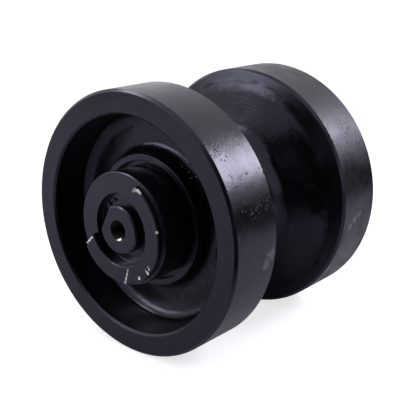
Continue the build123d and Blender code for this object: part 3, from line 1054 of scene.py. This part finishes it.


# Floor, lamps, and flags that paint dark reflections and floor shade

ROOM_LIGHT = 0.35
STUDIO_TINT = (0.94, 0.93, 1.0)
FLOOR_COLOUR = (0.69, 0.67, 0.75)
FLOOR_GLOW = 0.72
FLOOR_SIZE = (30, 30)
FLOOR_THICKNESS = 10 * MM
# Black of the sheets seen only in the gloss: painted dark reflections and painted floor shade
REFLECTED_SHADE_BLACK = (0.002, 0.002, 0.002)
FLAG_THICKNESS = 2 * MM
# Black sheet on the floor, seen only in the gloss: painted floor shade in the reflections
FLOOR_FLAG_THICKNESS = 1 * MM
FLOOR_FLAG_PLACE = (0.48, -0.60)
FLOOR_FLAG_SIZE = (0.62, 0.76)

# Azimuth, elevation, distance, size and power of each lamp
SOFTBOXES = {
    "key": (140, 32, 1.0, (0.40, 0.34), 6.0),
    "back": (165, 30, 1.7, (0.70, 0.36), 0.5),
    "left": (-38, 18, 1.5, (0.54, 0.5), 4.8),
    "high": (-58, 50, 1.5, (0.9, 0.24), 5),
}

# Azimuth, elevation, distance and size of each flag, a black sheet that paints dark reflections
FLAGS = {
    "flag_right": (139, 1.2, 0.85, (1.2, 0.31)),
    "flag_front": (33, 16, 1.05, (0.95, 1.05)),
}


def from_angles(azimuth, elevation, distance):
    """A place round the roller: azimuth 0 is towards -Y and 90 towards +X."""
    a, e = math.radians(azimuth), math.radians(elevation)
    way = Vector((math.sin(a) * math.cos(e), -math.cos(a) * math.cos(e), math.sin(e)))
    return way * distance


def softbox(name, azimuth, elevation, distance, size, power):
    """A soft rectangular lamp that faces the roller."""
    light = bpy.data.lights.new(name, "AREA")
    light.shape = "RECTANGLE"
    light.size, light.size_y = size
    light.energy = power
    light.color = STUDIO_TINT
    made = linked(name, light)
    made.location = from_angles(azimuth, elevation, distance)
    made.rotation_euler = (-made.location).to_track_quat("-Z", "Y").to_euler()


def plain_sheet(name, size, thickness, material):
    """A flat panel with a thickness, centred on its own origin."""
    shape = bmesh.new()
    bmesh.ops.create_cube(shape, size=1.0)
    bmesh.ops.scale(shape, vec=(*size, thickness), verts=shape.verts)
    mesh = bpy.data.meshes.new(name)
    shape.to_mesh(mesh)
    shape.free()
    mesh.materials.append(material)
    made = linked(name, mesh)
    return made


def seen_in_gloss_alone(sheet):
    """Hides a sheet from the camera and the soft light, and leaves it to the enamel's gloss as a painted
    dark reflection.
    """
    sheet.visible_camera = False
    sheet.visible_shadow = False
    sheet.visible_diffuse = False


def flag(name, azimuth, elevation, distance, size, material):
    """A black flag that faces the roller: a painted dark reflection, seen only in the gloss."""
    made = plain_sheet(name, size, FLAG_THICKNESS, material)
    made.location = from_angles(azimuth, elevation, distance)
    made.rotation_euler = (-made.location).to_track_quat("Z", "Y").to_euler()
    seen_in_gloss_alone(made)


def floor_flag(material):
    """A black sheet on the floor, seen only in the gloss: painted floor shade in the enamel's reflections.
    """
    made = plain_sheet("floor_shade_flag", FLOOR_FLAG_SIZE, FLOOR_FLAG_THICKNESS, material)
    made.location = (*FLOOR_FLAG_PLACE, FLOOR_FLAG_THICKNESS - TREAD_RAD)
    seen_in_gloss_alone(made)


def floor():
    """Pale floor that the camera sees as white, with the roller's shadow left on it."""
    material, sockets = plain_material("floor_pale", FLOOR_COLOUR, 0.6, 0.2)
    tree = Tree(material.node_tree)
    path = tree.add("ShaderNodeLightPath").outputs
    sockets["Emission Color"].default_value = (*WHITE, 1)
    tree.feed(sockets["Emission Strength"], tree.times(path["Is Camera Ray"], FLOOR_GLOW))
    made = plain_sheet("floor", FLOOR_SIZE, FLOOR_THICKNESS, material)
    made.location = (0, 0, -TREAD_RAD - FLOOR_THICKNESS / 2)


def world():
    """Soft even room light; the camera sees it as white, and the gloss as nearly white."""
    room = bpy.data.worlds.new("room")
    bpy.context.scene.world = room
    room.use_nodes = True
    room.node_tree.nodes.clear()
    tree = Tree(room.node_tree)
    path = tree.add("ShaderNodeLightPath").outputs
    seen = tree.math("MAXIMUM", path["Is Camera Ray"], path["Is Glossy Ray"])
    seen = tree.math("MAXIMUM", seen, path["Is Transmission Ray"])
    strength = tree.math("MULTIPLY_ADD", seen, 1.0 - ROOM_LIGHT, ROOM_LIGHT)
    colour = tree.mixed(path["Is Camera Ray"], STUDIO_TINT, WHITE)
    glow = tree.add("ShaderNodeBackground", {"Color": colour, "Strength": strength})
    tree.add("ShaderNodeOutputWorld", {"Surface": glow})


forged_enamel = forged_finish()
collar_enamel = turned_finish("collar_enamel", 0.62)
ground_steel = bare_metal("ground_steel", (0.45, 0.44, 0.42), 0.22)
rubber = rubber_finish()

shells(tread_finish(), turned_finish("turned_enamel", 0.53), forged_enamel)
weld(forged_enamel)
collars(collar_enamel, bare_metal("bare_steel", BARE_STEEL, 0.42))
axle_piece(ground_steel, collar_enamel, thread_finish())
small_pieces({
    "rubber": rubber,
    "cord": rubber,
    "seal": bare_metal("seal_iron", (0.25, 0.25, 0.25), 0.35),
    "bush": bare_metal("bush_bronze", (0.50, 0.30, 0.13), 0.3),
    "plug": ground_steel,
    "retaining": enamel("clip_enamel", (0.25, 0.38), 0.55).material,
})

camera()
world()
floor()
for lamp_name, lamp in SOFTBOXES.items():
    softbox(lamp_name, *lamp)
# Black sheets seen only in the gloss: painted dark reflections and painted floor shade
reflected_shade_cloth = plain_material("reflected_shade_cloth", REFLECTED_SHADE_BLACK, 1.0, 0.0)[0]
for flag_name, settings in FLAGS.items():
    flag(flag_name, *settings, reflected_shade_cloth)
floor_flag(reflected_shade_cloth)

bpy.context.scene.view_settings.view_transform = "Standard"
